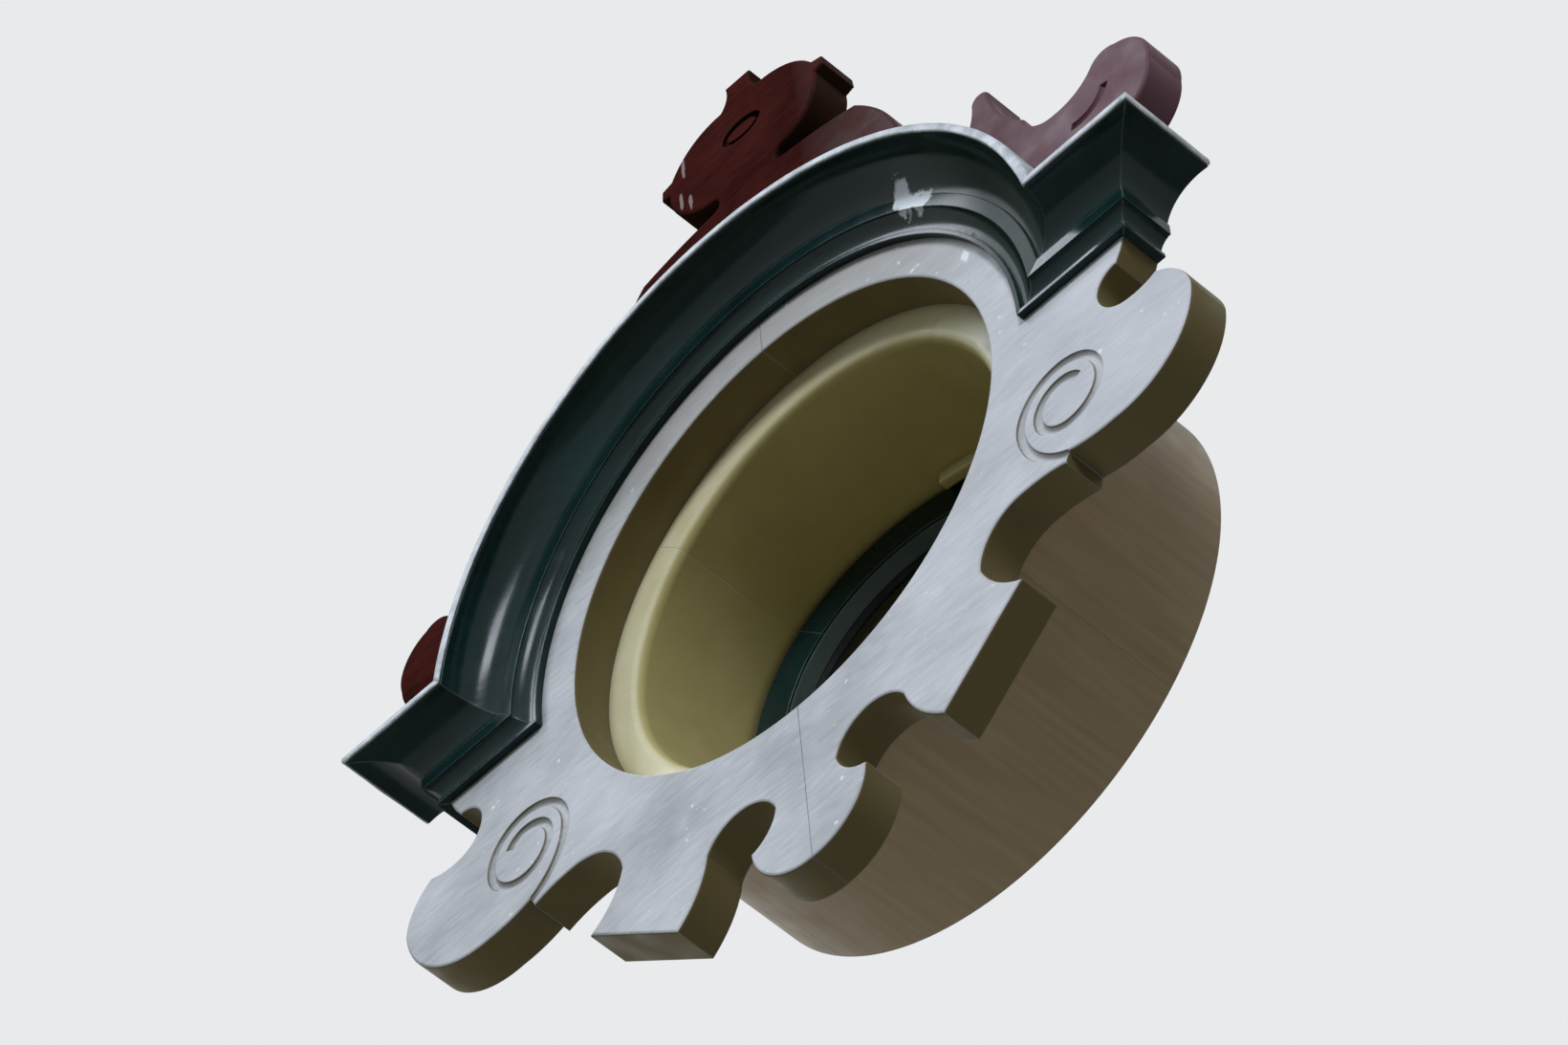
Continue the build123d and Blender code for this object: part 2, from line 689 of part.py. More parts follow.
def palmette_half():
    # Right half from the crown down: knop, fan, side tip, belly, stem, shoulder, foot on the arch.
    fan_top = CREST_TOP - KNOP_HEIGHT
    foot = (CREST_FOOT_X, math.sqrt(CREST_FOOT_R**2 - CREST_FOOT_X**2))
    crown = Line((0, CREST_TOP), (KNOP_HALF, CREST_TOP))
    knop_end = (KNOP_HALF * 1.5, fan_top)
    knop = ThreePointArc(crown @ 1, (KNOP_HALF * 1.07, fan_top + KNOP_HEIGHT / 3), knop_end)
    fan = ThreePointArc(knop_end, (0.7 * PALM_HALF, fan_top - PALM_HALF * 0.131), near_palm(0.964, 0.274))
    belly_top = near_palm(1, 0.071)
    tip_low = near(belly_top[0], belly_top[1], TIP_REACH, 1, 0.333)
    tip_top = near(belly_top[0], belly_top[1], TIP_REACH, 0.889, 1.556)
    tip = Polyline(fan @ 1, tip_top, tip_low, belly_top)
    stem_top = near_palm(0, -0.583)
    stem_top = (STEM_HALF + STEM_NOTCH / 2, stem_top[1])
    stem_low = (stem_top[0], stem_top[1] - STEM_NOTCH)
    belly = ThreePointArc(belly_top, near_palm(0.88, -0.357), stem_top)
    stem = TangentArc(stem_top, stem_low, tangent=belly % 1)
    shoulder_end = (SHOULDER_X, SHOULDER_Z)
    shoulder = TangentArc(stem_low, shoulder_end, tangent=stem % 1)
    fall_end = near(SHOULDER_X, SHOULDER_Z, SHOULDER_RISE, 0.41, -0.781)
    fall = ThreePointArc(shoulder_end, near(SHOULDER_X, SHOULDER_Z, SHOULDER_RISE, 0.267, -0.362), fall_end)
    spread = TangentArc(fall_end, foot, tangent=fall % 1)
    seat = ThreePointArc(foot, polar(CREST_FOOT_R, 75), (0, CREST_FOOT_R))
    return [crown, knop, fan, *tip.edges(), belly, stem, shoulder, fall, spread, seat]


def make_crest_centre():
    half = make_face(Wire(palmette_half() + [Line((0, CREST_FOOT_R), (0, CREST_TOP))]))
    face = half + mirror(half, about=Plane.YZ)
    whole = board(face, CREST_THICK, CREST_ARRIS)
    middle = near_palm(0, 0.16)
    oval = Pos(*middle) * Ellipse(OVAL_LONG, OVAL_SHORT)
    boss = Pos(middle[0], middle[1] - OVAL_RIM / 4) * Ellipse(OVAL_LONG - OVAL_RIM, OVAL_SHORT - OVAL_RIM)
    ring = extrude(Plane.XZ * (oval - boss), amount=OVAL_DEPTH + CUT_PAST)
    save(whole - Pos(0, OVAL_DEPTH - CREST_THICK, 0) * ring, "crest_palmette")


def near_scroll(across, up):
    return near(SCROLL_X, SCROLL_Z, SCROLL_R, across, up)


def near_hook(turn_deg, share):
    # Beside the arch, at a share of the hook's rise over it.
    return polar(CREST_FOOT_R + HOOK_RISE * share, HOOK_DEG + turn_deg)


def side_crest_outline():
    # Hook beside the arch, neck and round scroll, standing on the arch and on the level return.
    valley = (CREST_VALLEY_X, CREST_FOOT_Z)
    valley_deg = math.degrees(math.atan2(CREST_FOOT_Z, CREST_VALLEY_X))
    hook_foot = near_hook(-0.7, 0)
    half_way = (valley_deg + HOOK_DEG - 0.7) / 2
    hook_left = near_hook(1.2, 0.79)
    hook_right = near_hook(-0.93, 0.965)
    hook_heel = near_scroll(-1.529, 1.039)
    neck = near_scroll(-0.922, 0.529)
    neck_top = near_scroll(-0.137, 0.902)
    scroll_top = near_scroll(0.392, 1)
    scroll_side = near_scroll(1, 0)
    scroll_low = near_scroll(0, -1)
    root = near_scroll(-0.412, -1.471)
    toe = (SCROLL_X + SCROLL_R * 0.059, CREST_FOOT_Z)
    bend = near(toe[0], toe[1], SCROLL_R, -0.34, 0.4)
    return [
        ThreePointArc(valley, polar(CREST_FOOT_R, half_way), hook_foot),
        ThreePointArc(hook_foot, near_hook(-0.44, 0.447), hook_left),
        ThreePointArc(hook_left, near_hook(0.96, 0.996), hook_right),
        ThreePointArc(hook_right, near_hook(-5.7, 0.66), hook_heel),
        ThreePointArc(hook_heel, near_scroll(-1.314, 0.647), neck),
        ThreePointArc(neck, near_scroll(-0.451, 0.627), neck_top),
        ThreePointArc(neck_top, near_scroll(0.098, 1.059), scroll_top),
        ThreePointArc(scroll_top, near_scroll(0.784, 0.765), scroll_side),
        ThreePointArc(scroll_side, near_scroll(math.sqrt(0.5), -math.sqrt(0.5)), scroll_low),
        ThreePointArc(scroll_low, near_scroll(-0.353, -1.118), root),
        ThreePointArc(root, bend, toe),
        Line(toe, valley),
    ]


def scroll_cut():
    return [ThreePointArc(near_scroll(-0.627, -0.176), near_scroll(-0.216, -0.137), near_scroll(0.098, 0.235))]


def make_side_crests():
    solid = board(make_face(Wire(side_crest_outline())), CREST_THICK, CREST_ARRIS)
    solid = solid - groove(scroll_cut(), CREST_THICK, CUT_R + 1, CUT_R)
    save(solid, "crest_right")
    save(mirrored(solid), "crest_left")


make_frame()
make_sockets()
make_beads()
make_sash()
make_glazing()
make_knob()
make_surround()
make_hood()
make_lead()
make_crest_centre()
make_side_crests()
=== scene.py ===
# %% [markdown]
# # A painted round window with a leaded hood
#
# A fretted board surrounds a round hole. A moulded hood shelters it, sheet lead covers the
# hood, and sawn crest boards stand on the lead. In the hole, a round sash turns on two pins.
# This lesson gives the imported timber pieces their paint, dresses the lead in mesh code, and
# lights the whole as on a bright overcast day.

# %% Load the imported model
import json
import math

import bmesh
import bpy
from mathutils import Matrix, Vector, noise

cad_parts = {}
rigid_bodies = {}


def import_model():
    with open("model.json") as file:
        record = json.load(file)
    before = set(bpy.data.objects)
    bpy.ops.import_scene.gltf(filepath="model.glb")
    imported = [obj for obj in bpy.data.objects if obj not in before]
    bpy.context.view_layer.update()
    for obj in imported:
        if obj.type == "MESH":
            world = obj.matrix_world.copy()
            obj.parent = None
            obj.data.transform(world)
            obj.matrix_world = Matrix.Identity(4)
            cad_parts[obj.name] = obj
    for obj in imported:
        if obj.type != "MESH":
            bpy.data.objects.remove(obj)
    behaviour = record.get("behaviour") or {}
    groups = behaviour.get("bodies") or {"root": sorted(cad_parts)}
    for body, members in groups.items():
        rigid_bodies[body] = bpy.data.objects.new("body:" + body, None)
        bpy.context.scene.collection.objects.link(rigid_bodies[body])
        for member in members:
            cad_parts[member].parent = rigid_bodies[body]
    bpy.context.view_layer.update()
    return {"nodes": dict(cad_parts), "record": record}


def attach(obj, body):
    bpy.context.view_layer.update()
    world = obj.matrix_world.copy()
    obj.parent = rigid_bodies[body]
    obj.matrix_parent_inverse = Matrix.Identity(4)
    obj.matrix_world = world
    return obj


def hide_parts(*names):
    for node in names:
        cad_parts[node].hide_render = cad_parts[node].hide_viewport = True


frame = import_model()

nodes = frame["nodes"]
print("pieces from the packed model:", len(nodes))

# %% [markdown]
# ## Colours and nodes
#
# A painter's colour card gives sRGB values. The shader wants linear light, so one function
# turns one into the other. One more function adds a node with its settings and its links. A Mix
# node has one set of sockets for plain numbers and another for colours. Both sets have the same
# names, so they are called by their numbers here.

# %% Colours
def linear(card):
    parts = [int(card[i:i + 2], 16) / 255 for i in (1, 3, 5)]
    return [p / 12.92 if p <= 0.04045 else ((p + 0.055) / 1.055) ** 2.4 for p in parts] + [1.0]


print("light grey card in linear light:", [round(v, 3) for v in linear("#C3C9D6")])

# %% Nodes
MM = 0.001
MIX_COLOURS = {"data_type": "RGBA"}
SHARE = 0
NUMBER_A, NUMBER_B = 2, 3
COLOUR_A, COLOUR_B, COLOUR_OUT = 6, 7, 2


def fill(node, sockets):
    for key, value in sockets.items():
        if isinstance(value, bpy.types.NodeSocket):
            node.id_data.links.new(value, node.inputs[key])
        else:
            node.inputs[key].default_value = value


def add(tree, kind, settings=None, sockets=None):
    made = tree.nodes.new("ShaderNode" + kind)
    for key, value in (settings or {}).items():
        setattr(made, key, value)
    fill(made, sockets or {})
    return made


def new_finish(name):
    finish = bpy.data.materials.new(name)
    finish.use_nodes = True
    tree = finish.node_tree
    return finish, tree, tree.nodes["Principled BSDF"]


print("one scene unit in millimetres:", round(1 / MM))

# %% [markdown]
# ## Oil paint on sawn boards
#
# The boards were painted by hand, and each coat keeps the marks of the brush. A bristle mark is
# about 1 mm wide, which is too fine to show from the ground, so the marks are drawn 4 mm wide and
# six times as long. They run one way in one patch of board and another way in the next, because
# that is how a fretted board is laid in. Weather dulls the gloss in patches. The arrises are
# paler, partly from wear and partly as a painted highlight, and the inner corners are darker,
# partly from dirt and partly as painted shade. To the eye, that is a soft sheen that is nowhere
# even.

# %% Brush marks
MARK_MM = 4.0
MARK_SQUEEZE = (0.16, 0.5, 1.0)
PATCH_MM = 90.0
# Each sweep of the brush: its slant in degrees, and a shift that keeps its marks its own.
SWEEPS = ((25, 0.0), (-50, 70.0))


def place_mm(tree):
    spot = add(tree, "TexCoord").outputs["Object"]
    return add(tree, "VectorMath", {"operation": "SCALE"}, {0: spot, "Scale": 1 / MM}).outputs[0]


def brush_marks(tree, place):
    patch = add(tree, "TexNoise", {}, {"Vector": place, "Scale": 1 / PATCH_MM, "Detail": 1.0})
    choice = add(tree, "MapRange", {}, {
        "Value": patch.outputs["Fac"], "From Min": 0.46, "From Max": 0.54,
    }).outputs[0]
    marks = []
    for slant, shift in SWEEPS:
        bed = add(tree, "Mapping", {}, {
            "Vector": place,
            "Location": (shift, 0, shift),
            "Rotation": (0, math.radians(slant), 0),
            "Scale": MARK_SQUEEZE,
        }).outputs[0]
        lines = add(tree, "TexNoise", {}, {"Vector": bed, "Scale": 1 / MARK_MM, "Detail": 3.0})
        marks.append(lines.outputs["Fac"])
    return add(tree, "Mix", {}, {SHARE: choice, NUMBER_A: marks[0], NUMBER_B: marks[1]}).outputs[0]


print("brush marks of", MARK_MM, "mm in patches of", PATCH_MM, "mm")

# %% Faces, corners and arrises
FRONT = (0, -1, 0)
BACK = (0, 1, 0)
# How squarely a surface faces the front before it takes the front's paint, and all of it.
FRONT_FADE = (0.35, 0.75)
CORNER_MM = 14.0


def facing(tree, direction, start, full):
    normal = add(tree, "TexCoord").outputs["Normal"]
    dot = add(tree, "VectorMath", {"operation": "DOT_PRODUCT"}, {0: normal, 1: direction})
    return add(tree, "MapRange", {"interpolation_type": "SMOOTHSTEP"}, {
        "Value": dot.outputs["Value"], "From Min": start, "From Max": full,
    }).outputs[0]


def corner_dirt_and_shade(tree):
    # The AO value is low in an inner corner, where rain doesn't wash and where shade falls, so this
    # darkening is partly dirt and partly painted shade.
    close = add(tree, "AmbientOcclusion", {"samples": 6}, {"Distance": CORNER_MM * MM})
    return add(tree, "MapRange", {}, {
        "Value": close.outputs["AO"],
        "From Min": 0.35, "From Max": 0.75, "To Min": 0.75, "To Max": 0.0,
    }).outputs[0]


def rubbed_and_highlit_arris(tree, soft, cloud):
    # The softened normal leaves the true one only along an arris, and the paint wears in spots. The
    # paler arris is partly wear and partly a painted highlight.
    hard = add(tree, "NewGeometry").outputs["Normal"]
    bend = add(tree, "VectorMath", {"operation": "DOT_PRODUCT"}, {0: soft, 1: hard})
    rub_and_highlight = add(tree, "MapRange", {}, {
        "Value": bend.outputs["Value"], "From Min": 0.97, "From Max": 0.86, "To Max": 0.9,
    }).outputs[0]
    return add(tree, "Math", {"operation": "MULTIPLY"}, {0: rub_and_highlight, 1: cloud}).outputs[0]


print("dirt reaches", CORNER_MM, "mm out of a corner")

# %% The paint itself
def lay_over(finish, share, colour):
    # One more layer of colour, over what the finish has so far.
    skin = finish.node_tree.nodes["Principled BSDF"]
    layered = add(finish.node_tree, "Mix", MIX_COLOURS, {
        SHARE: share, COLOUR_A: skin.inputs["Base Color"].links[0].from_socket, COLOUR_B: colour,
    }).outputs[COLOUR_OUT]
    fill(skin, {"Base Color": layered})


CLOUD_MM = 35.0
COAT_MM = 110.0
ARRIS_MM = 1.6
RELIEF_MM = 0.6


def brushed_oil_paint(
    name, face, faded, edge, dirt_and_shade, roughness, gloss, relief, coat=0.0, side=None, front=FRONT_FADE,
):
    finish, tree, skin = new_finish(name)
    place = place_mm(tree)
    marks = brush_marks(tree, place)
    cloud = add(tree, "TexNoise", {}, {
        "Vector": place, "Scale": 1 / CLOUD_MM, "Detail": 4.0,
    }).outputs["Fac"]
    coats = add(tree, "TexNoise", {}, {
        "Vector": place, "Scale": 1 / COAT_MM, "Detail": 2.0,
    }).outputs["Fac"]
    laid = add(tree, "Mix", {}, {SHARE: 0.55, NUMBER_A: marks, NUMBER_B: cloud}).outputs[0]
    laid = add(tree, "Mix", {}, {SHARE: 0.45, NUMBER_A: laid, NUMBER_B: coats}).outputs[0]
    streak = add(tree, "MapRange", {}, {"Value": laid, "From Min": 0.4, "From Max": 0.6}).outputs[0]
    colour = add(tree, "Mix", MIX_COLOURS, {
        SHARE: streak, COLOUR_A: linear(face), COLOUR_B: linear(faded),
    }).outputs[COLOUR_OUT]
    if side:
        sawn = add(tree, "Mix", MIX_COLOURS, {
            SHARE: cloud, COLOUR_A: linear(side[0]), COLOUR_B: linear(side[1]),
        }).outputs[COLOUR_OUT]
        colour = add(tree, "Mix", MIX_COLOURS, {
            SHARE: facing(tree, FRONT, *front), COLOUR_A: sawn, COLOUR_B: colour,
        }).outputs[COLOUR_OUT]
    soft = add(tree, "Bevel", {"samples": 4}, {"Radius": ARRIS_MM * MM}).outputs[0]
    dull = add(tree, "MapRange", {}, {
        "Value": cloud, "From Min": 0.3, "From Max": 0.7,
        "To Min": roughness * 0.75, "To Max": roughness * 1.3,
    }).outputs[0]
    height = add(tree, "Mix", {}, {SHARE: 0.3, NUMBER_A: marks, NUMBER_B: cloud}).outputs[0]
    bump = add(tree, "Bump", {}, {
        "Strength": relief, "Distance": RELIEF_MM * MM, "Height": height, "Normal": soft,
    }).outputs[0]
    fill(skin, {
        "Base Color": colour, "Roughness": dull, "Normal": bump, "IOR": 1.48,
        "Specular IOR Level": gloss, "Coat Weight": coat, "Coat Roughness": 0.12,
    })
    # The inner corners take the dirt colour: partly dirt and partly painted shade.
    lay_over(finish, corner_dirt_and_shade(tree), linear(dirt_and_shade))
    # The arrises take the edge colour: partly wear and partly a painted highlight.
    lay_over(finish, rubbed_and_highlit_arris(tree, soft, cloud), linear(edge))
    return finish


print("the paint clouds over in", CLOUD_MM, "mm, and its coats vary in", COAT_MM, "mm")

# %% [markdown]
# ## The paints
#
# The fretted board is bluish grey in front, and its sawn sides are dark umber. The hood and the
# sash are bottle green, so dark that only the gloss gives away their shape. The crest is oxide
# red on umber sides. The tube that lines the hole is cream, and its inner faces are painted
# darker than its rim as painted shade. The putty was painted over with the sash. Gloss paint
# mirrors more than this, but here a pale background mirrors in it from all sides, so its gloss is
# set low.

# %% Mix the paints
GREEN_GLOSS = 0.17
GREEN_COAT = 0.05
RED_GLOSS = 0.12

grey_paint = brushed_oil_paint(
    "bluish_grey_oil_paint", face="#A9AAA9", faded="#D2D3D2", edge="#E4E5E4", dirt_and_shade="#5F5C50",
    roughness=0.5, gloss=0.18, relief=0.3, side=("#635836", "#766A43"),
)
# The green's pale edge colour draws painted highlights along the hood's arrises, besides wear.
green_paint = brushed_oil_paint(
    "bottle_green_gloss_paint", face="#081F1D", faded="#102D2C", edge="#86999A", dirt_and_shade="#07120F",
    roughness=0.2, gloss=GREEN_GLOSS, relief=0.14, coat=GREEN_COAT,
)
red_paint = brushed_oil_paint(
    "oxide_red_gloss_paint", face="#321512", faded="#4A211C", edge="#7A4440", dirt_and_shade="#1C100D",
    roughness=0.5, gloss=RED_GLOSS, relief=0.3, side=("#2A1B14", "#3A271C"),
)
# The cream's side colour is painted shade: the tube's inner faces are the same cream as its rim,
# painted darker.
cream_paint = brushed_oil_paint(
    "cream_oil_paint", face="#DBD1A0", faded="#E6DEB8", edge="#EFEAD2", dirt_and_shade="#6A6040",
    roughness=0.4, gloss=0.2, relief=0.22, side=("#B2A66C", "#C2B67B"), front=(0.6, 0.97),
)
putty_paint = brushed_oil_paint(
    "painted_linseed_putty", face="#13241F", faded="#1C2F29", edge="#33463F", dirt_and_shade="#0B1210",
    roughness=0.5, gloss=0.4, relief=0.5,
)
paints = (grey_paint, green_paint, red_paint, cream_paint, putty_paint)
print("paints mixed:", [paint.name for paint in paints])

# %% [markdown]
# ## What weather and birds add, and where light and shade are painted
#
# The crest is painted paler and mauve towards the right, most on its scroll, as a painted sheen,
# and the board is paler towards the right. The board has pale flecks, and painted shade under the
# hood, darker towards the top. Birds have left white splashes on the hood and the board, the
# palmette has pale streaks, and the arch's right foot is painted greener with its gloss dulled,
# as painted shade. The backs were hidden once the window was fixed, and never got more than a thin
# coat of primer, and the tube's outside is bare pine. Each of these is one more layer over the
# paint, with its own share of the surface.

# %% Pine and splashes
GRAIN_MM = 7.0
SPECK_MM = 9.0


def pine(tree, place, squeeze):
    # The grain runs along the axis that is squeezed.
    along = add(tree, "Mapping", {}, {"Vector": place, "Scale": squeeze}).outputs[0]
    grain = add(tree, "TexNoise", {}, {"Vector": along, "Scale": 1 / GRAIN_MM, "Detail": 5.0})
    return add(tree, "Mix", MIX_COLOURS, {
        SHARE: grain.outputs["Fac"], COLOUR_A: linear("#9A8668"), COLOUR_B: linear("#C0AC8A"),
    }).outputs[COLOUR_OUT]


def splash(tree, place, centre, reach, ragged):
    # A spot round a point, with its reach along each axis, both in millimetres.
    away = add(tree, "VectorMath", {"operation": "SUBTRACT"}, {0: place, 1: centre}).outputs[0]
    share = add(tree, "VectorMath", {"operation": "DIVIDE"}, {0: away, 1: reach}).outputs[0]
    far = add(tree, "VectorMath", {"operation": "LENGTH"}, {0: share}).outputs["Value"]
    rim = add(tree, "TexNoise", {}, {"Vector": place, "Scale": 1 / SPECK_MM, "Detail": 2.0})
    edge = add(tree, "Math", {"operation": "MULTIPLY_ADD"}, {
        0: rim.outputs["Fac"], 1: 2 * ragged, 2: far,
    }).outputs[0]
    return add(tree, "MapRange", {}, {
        "Value": edge, "From Min": 1.1 + ragged, "From Max": 0.8 + ragged,
    }).outputs[0]


print("pine's grain is", GRAIN_MM, "mm wide")

# %% Primed backs
# Only what lies in the plane of the backs is primed, because the sash is painted on both faces.
PRIMED_MM = 2.0

for finish in (grey_paint, green_paint, red_paint):
    tree = finish.node_tree
    place = place_mm(tree)
    depth = add(tree, "SeparateXYZ", {}, {0: place}).outputs["Y"]
    outside = add(tree, "MapRange", {}, {
        "Value": depth, "From Min": PRIMED_MM + 1.0, "From Max": PRIMED_MM,
    }).outputs[0]
    back = add(tree, "Math", {"operation": "MULTIPLY"}, {
        0: facing(tree, BACK, 0.6, 0.9), 1: outside,
    }).outputs[0]
    lay_over(finish, back, pine(tree, place, (1.0, 1.0, 0.05)))
print("backs primed")

# %% Painted sheen and streaks on the crest
# The centre of each streak on the palmette, and its reach.
PALMETTE_STREAKS = (
    ((-66, -37, 548), (2, 30, 15)),
    ((-71, -37, 508), (2, 30, 12)),
    ((-61, -37, 497), (2, 30, 11)),
)

tree = red_paint.node_tree
place = place_mm(tree)
across = add(tree, "SeparateXYZ", {}, {0: place}).outputs["X"]
# The crest is painted paler and mauve towards the right: a painted sheen, most on the scroll.
painted_sheen = add(tree, "MapRange", {}, {
    "Value": across, "From Min": 120.0, "From Max": 330.0, "To Max": 0.75,
}).outputs[0]
lay_over(red_paint, painted_sheen, linear("#6F4F58"))
for centre, reach in PALMETTE_STREAKS:
    lay_over(red_paint, splash(tree, place, centre, reach, 0.6), linear("#8F7F79"))
shine = add(tree, "MapRange", {}, {
    "Value": across, "From Min": 60.0, "From Max": 300.0, "To Max": RED_GLOSS,
}).outputs[0]
fill(tree.nodes["Principled BSDF"], {"Specular IOR Level": shine})
print("streaks on the palmette:", len(PALMETTE_STREAKS))

# %% Paler right side, painted shade under the hood, and flecks on the board
# A paler layer towards the right, and painted shade under the hood, darker towards the top: the
# axis, where the layer starts and where it is full in millimetres, its greatest share and its
# colour.
BOARD_LAYERS = (
    ("X", 60.0, 330.0, 0.4, "#E2E2E3"),
    ("Z", 90.0, 220.0, 0.6, "#9A968B"),
)
BOARD_SPLASH = (214, -38, 130)
BOARD_SPLASH_REACH = (4, 30, 8)

tree = grey_paint.node_tree
place = place_mm(tree)
front = facing(tree, FRONT, *FRONT_FADE)
spread = add(tree, "SeparateXYZ", {}, {0: place})
for along, start, full, most, card in BOARD_LAYERS:
    share = add(tree, "MapRange", {}, {
        "Value": spread.outputs[along], "From Min": start, "From Max": full, "To Max": most,
    }).outputs[0]
    layer = add(tree, "Math", {"operation": "MULTIPLY"}, {0: share, 1: front}).outputs[0]
    lay_over(grey_paint, layer, linear(card))
specks = add(tree, "TexNoise", {}, {"Vector": place, "Scale": 1 / SPECK_MM, "Detail": 1.0})
pale = add(tree, "MapRange", {}, {
    "Value": specks.outputs["Fac"], "From Min": 0.73, "From Max": 0.82,
}).outputs[0]
flecks = add(tree, "Math", {"operation": "MULTIPLY"}, {0: pale, 1: front}).outputs[0]
lay_over(grey_paint, flecks, linear("#EAEBEC"))
spot = splash(tree, place, BOARD_SPLASH, BOARD_SPLASH_REACH, 1.0)
lay_over(grey_paint, spot, linear("#E3E7E4"))
print("layers on the board:", len(BOARD_LAYERS) + 2)

# %% Splashes on the hood
HOOD_SPLASHES = (
    ((171, -66, 243), (9, 50, 20)),
    ((178, -62, 227), (12, 50, 9)),
    ((190, -62, 217), (12, 50, 8)),
)

tree = green_paint.node_tree
place = place_mm(tree)
for centre, reach in HOOD_SPLASHES:
    lay_over(green_paint, splash(tree, place, centre, reach, 0.8), linear("#EDF3F5"))
print("splashes on the hood:", len(HOOD_SPLASHES))

# %% Painted shade at the arch's right foot: greener, with its gloss dulled
arch_paint = green_paint.copy()
arch_paint.name = "bottle_green_paint_with_algae"
tree = arch_paint.node_tree
across = add(tree, "SeparateXYZ", {}, {0: place_mm(tree)}).outputs["X"]
toward_right_foot = add(tree, "MapRange", {"interpolation_type": "SMOOTHSTEP"}, {
    "Value": across, "From Min": 170.0, "From Max": 260.0,
}).outputs[0]
greener_share = add(tree, "Math", {"operation": "MULTIPLY"}, {0: toward_right_foot, 1: 0.5}).outputs[0]
# Towards the arch's right foot the paint turns greener and its gloss is dulled, which keeps the
# foot dark as painted shade.
lay_over(arch_paint, greener_share, linear("#22362A"))
for socket, clean, dull in (
    ("Specular IOR Level", GREEN_GLOSS, 0.02),
    ("Coat Weight", GREEN_COAT, 0.0),
):
    shine = add(tree, "MapRange", {}, {"Value": toward_right_foot, "To Min": clean, "To Max": dull}).outputs[0]
    fill(tree.nodes["Principled BSDF"], {socket: shine})
print("made", arch_paint.name)

# %% Cream inside the tube, bare pine outside
def packed_box(node):
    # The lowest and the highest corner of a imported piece, in millimetres.
    piece = nodes[node]
    corners = [piece.matrix_world @ Vector(corner) for corner in piece.bound_box]
    return [
        [round(pick(corner[axis] for corner in corners) / MM, 1) for axis in range(3)]
        for pick in (min, max)
    ]


TUBE_OUTER_R = packed_box("frame_head")[1][2]

tube_paint = cream_paint.copy()
tube_paint.name = "cream_paint_on_bare_pine"
tree = tube_paint.node_tree
place = place_mm(tree)
flat = add(tree, "VectorMath", {"operation": "MULTIPLY"}, {0: place, 1: (1, 0, 1)}).outputs[0]
from_axis = add(tree, "VectorMath", {"operation": "LENGTH"}, {0: flat}).outputs["Value"]
bare = add(tree, "MapRange", {}, {
    "Value": from_axis, "From Min": TUBE_OUTER_R - 1.4, "From Max": TUBE_OUTER_R - 0.4,
}).outputs[0]
lay_over(tube_paint, bare, pine(tree, place, (1.0, 0.06, 1.0)))
print("made", tube_paint.name, "for a tube of radius", TUBE_OUTER_R)

# %% [markdown]
# ## Sheet lead
#
# Milled lead weathers to a dull grey carbonate, pale where rain runs and darker where it stays
# dry. Dressing it down with a wooden tool leaves soft dents some 30 mm wide. The patina isn't a
# metal to the eye, so only a third of the metal shows through it.

# %% Weathered lead
BLOOM_MM = 22.0
DENT_MM = 30.0

sheet_lead, tree, skin = new_finish("weathered_sheet_lead")
place = place_mm(tree)
bloom = add(tree, "TexNoise", {}, {
    "Vector": place, "Scale": 1 / BLOOM_MM, "Detail": 6.0, "Roughness": 0.65,
}).outputs["Fac"]
washed = add(tree, "MapRange", {}, {"Value": bloom, "From Min": 0.36, "From Max": 0.66}).outputs[0]
patina = add(tree, "Mix", MIX_COLOURS, {
    SHARE: washed, COLOUR_A: linear("#92989A"), COLOUR_B: linear("#D0D5D8"),
}).outputs[COLOUR_OUT]
dents = add(tree, "TexNoise", {}, {
    "Vector": place, "Scale": 1 / DENT_MM, "Detail": 2.0,
}).outputs["Fac"]
bump = add(tree, "Bump", {}, {"Strength": 0.6, "Distance": 1.5 * MM, "Height": dents}).outputs[0]
dull = add(tree, "MapRange", {}, {"Value": bloom, "To Min": 0.42, "To Max": 0.7}).outputs[0]
fill(skin, {"Base Color": patina, "Roughness": dull, "Normal": bump, "Metallic": 0.35})
print("made", sheet_lead.name)

# %% [markdown]
# ## Glass, brass and bare timber
#
# From outside, a window's glass looks dark. Here nothing dark stands behind it, so the float
# glass gets a dark body, painted shade that stands in for the dark room and hides what is there,
# with a faint sway and a film of dirt.
# The brass of the pivots and the knob is turned, which leaves fine rings, and a little tarnished.
# The dowels are bare beech, with its fine grain along the length.

# %% Glass
SWAY_MM = 80.0
FILM_MM = 12.0

glass, tree, skin = new_finish("float_glass_painted_dark")
place = place_mm(tree)
sway = add(tree, "TexNoise", {}, {
    "Vector": place, "Scale": 1 / SWAY_MM, "Detail": 1.0,
}).outputs["Fac"]
film = add(tree, "TexNoise", {}, {
    "Vector": place, "Scale": 1 / FILM_MM, "Detail": 5.0,
}).outputs["Fac"]
body = add(tree, "Mix", MIX_COLOURS, {
    SHARE: film, COLOUR_A: linear("#1B211F"), COLOUR_B: linear("#2A312E"),
}).outputs[COLOUR_OUT]
dull = add(tree, "MapRange", {}, {"Value": film, "To Min": 0.02, "To Max": 0.09}).outputs[0]
bump = add(tree, "Bump", {}, {"Strength": 0.15, "Distance": 1 * MM, "Height": sway}).outputs[0]
fill(skin, {"Base Color": body, "Roughness": dull, "Normal": bump})
fill(skin, {"Transmission Weight": 0.85, "IOR": 1.52})
print("made", glass.name)

# %% Brass
TARNISH_MM = 6.0
LATHE_MM = 1.0

